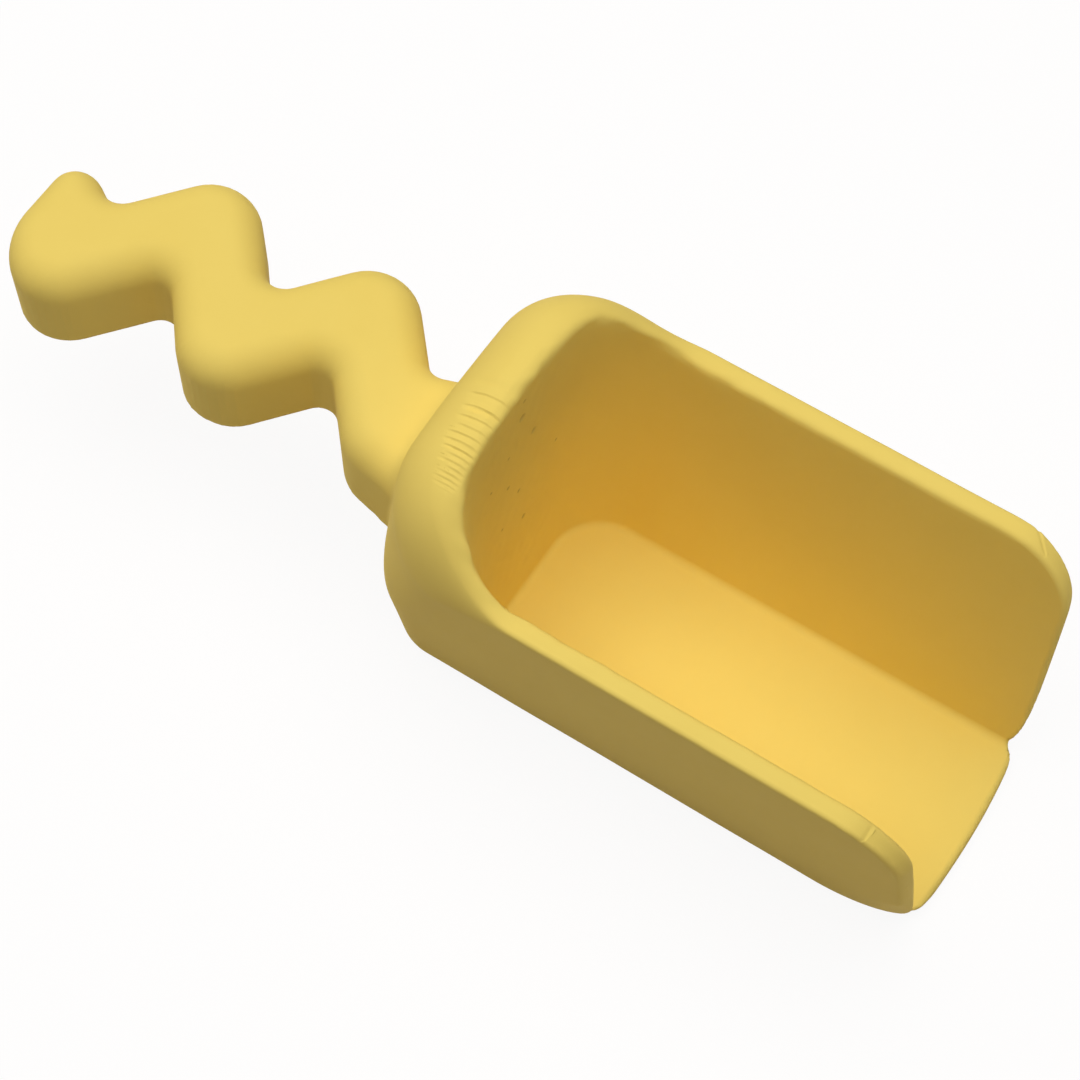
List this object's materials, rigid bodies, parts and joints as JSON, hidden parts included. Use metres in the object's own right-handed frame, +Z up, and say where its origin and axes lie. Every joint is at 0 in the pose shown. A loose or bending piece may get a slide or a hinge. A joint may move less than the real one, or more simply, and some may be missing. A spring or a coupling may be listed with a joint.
{
  "type": "sand shovel",
  "caption": "Toy sand shovel with a deep open scoop, a thick crowned back wall and a chunky zigzag grip.",
  "frame": {"origin": "on the ground plane, in the middle of the width, under the inner face of the scoop's back wall; it lies on the flat underside", "axes": "+X runs out of the scoop's open front, +Y to the left of the person digging, +Z up; the handle runs back along -X"},
  "size_m": [0.2538, 0.0836, 0.0921],
  "materials": {
    "scoop_yellow": "matte pastel yellow, faintly grained, with fine layer steps on the crown",
    "handle_yellow": "matte pastel yellow, faintly grained",
    "dowel_pale": "plain, hidden inside the joint"
  },
  "bodies": {
    "root": {"scoop": "scoop_yellow", "handle": "handle_yellow", "dowel_left": "dowel_pale", "dowel_right": "dowel_pale"}
  },
  "joints": []
}
